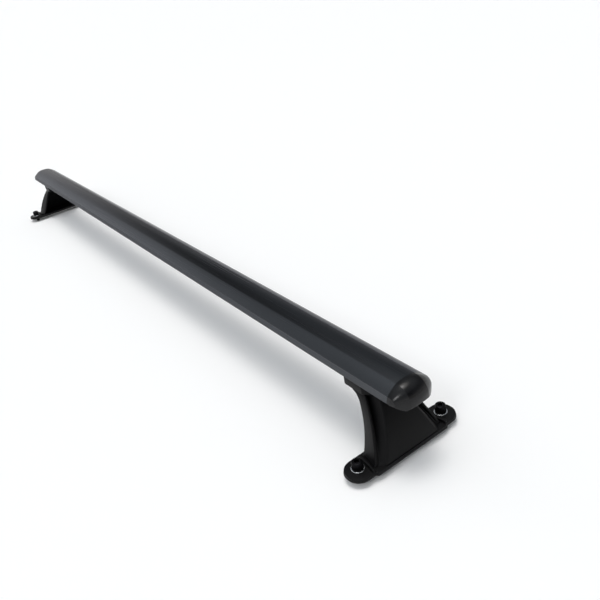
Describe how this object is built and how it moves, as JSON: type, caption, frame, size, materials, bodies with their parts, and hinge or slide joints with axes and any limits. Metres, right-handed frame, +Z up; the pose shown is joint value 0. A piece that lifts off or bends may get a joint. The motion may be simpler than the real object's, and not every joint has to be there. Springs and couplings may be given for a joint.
{
  "type": "roof rack crossbar",
  "caption": "Black roof rack crossbar: a wing-shaped aluminium bar with end caps, clamped on sloping cast feet that bolt down to a vehicle roof.",
  "frame": {"origin": "midway between the two feet, in the roof plane under the rubber pads", "axes": "+X along the bar to the end nearer the camera, +Z up from the roof, -Y towards the camera and the vehicle's front"},
  "size_m": [1.398, 0.1632, 0.1107],
  "materials": {
    "bar": "black anodised, satin",
    "foot": "black powder coat on cast aluminium",
    "cap": "black moulded plastic with a soft sheen",
    "rubber": "matt black rubber",
    "black_steel": "black oxide steel",
    "zinc": "bright zinc plate"
  },
  "bodies": {
    "root": {"crossbar": "bar", "end_cap_left": "cap", "foot_left": "foot", "roof_pad_left": "rubber", "saddle_strip_left": "rubber", "slot_nut_left": "zinc", "clamp_screw_left_outer": "zinc", "clamp_washer_left_outer": "zinc", "clamp_screw_left_inner": "zinc", "clamp_washer_left_inner": "zinc", "roof_screw_left_front": "black_steel", "spring_washer_left_front": "black_steel", "flat_washer_left_front": "zinc", "roof_screw_left_rear": "black_steel", "spring_washer_left_rear": "black_steel", "flat_washer_left_rear": "zinc", "end_cap_right": "cap", "foot_right": "foot", "roof_pad_right": "rubber", "saddle_strip_right": "rubber", "slot_nut_right": "zinc", "clamp_screw_right_outer": "zinc", "clamp_washer_right_outer": "zinc", "clamp_screw_right_inner": "zinc", "clamp_washer_right_inner": "zinc", "roof_screw_right_front": "black_steel", "spring_washer_right_front": "black_steel", "flat_washer_right_front": "zinc", "roof_screw_right_rear": "black_steel", "spring_washer_right_rear": "black_steel", "flat_washer_right_rear": "zinc"}
  },
  "joints": []
}
